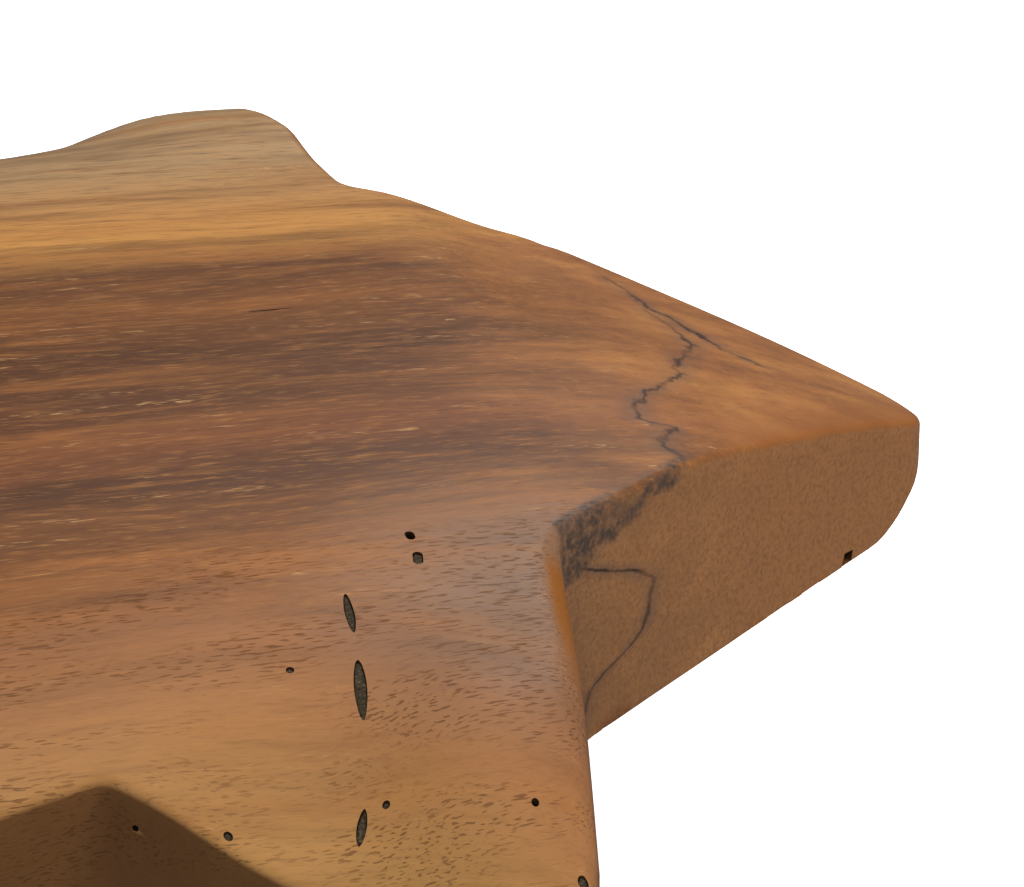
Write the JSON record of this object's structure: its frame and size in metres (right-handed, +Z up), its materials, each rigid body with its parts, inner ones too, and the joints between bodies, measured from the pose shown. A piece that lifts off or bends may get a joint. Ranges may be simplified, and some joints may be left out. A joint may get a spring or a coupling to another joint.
{
  "type": "carved headrest",
  "caption": "Low headrest carved from one block of hardwood: a domed, star-shaped top with blunt end lugs, standing on stout legs under crossing arches.",
  "frame": {"origin": "on the ground, midway between the feet, under the middle of the top", "axes": "+X along the grain and the length, towards an end lug; +Y across the width; +Z up"},
  "size_m": [0.381, 0.2476, 0.0873],
  "materials": {
    "oiled_hardwood": "hand-carved, oiled and rubbed to a soft satin",
    "hole_filler": "matt wax-and-dust filler, sunk below the wood"
  },
  "bodies": {
    "root": {"carved_block": "oiled_hardwood", "upper_slot_fill": "hole_filler", "middle_slot_fill": "hole_filler", "lower_slot_fill": "hole_filler", "oval_hole_fill": "hole_filler", "pin_hole_fills": "hole_filler"}
  },
  "joints": []
}
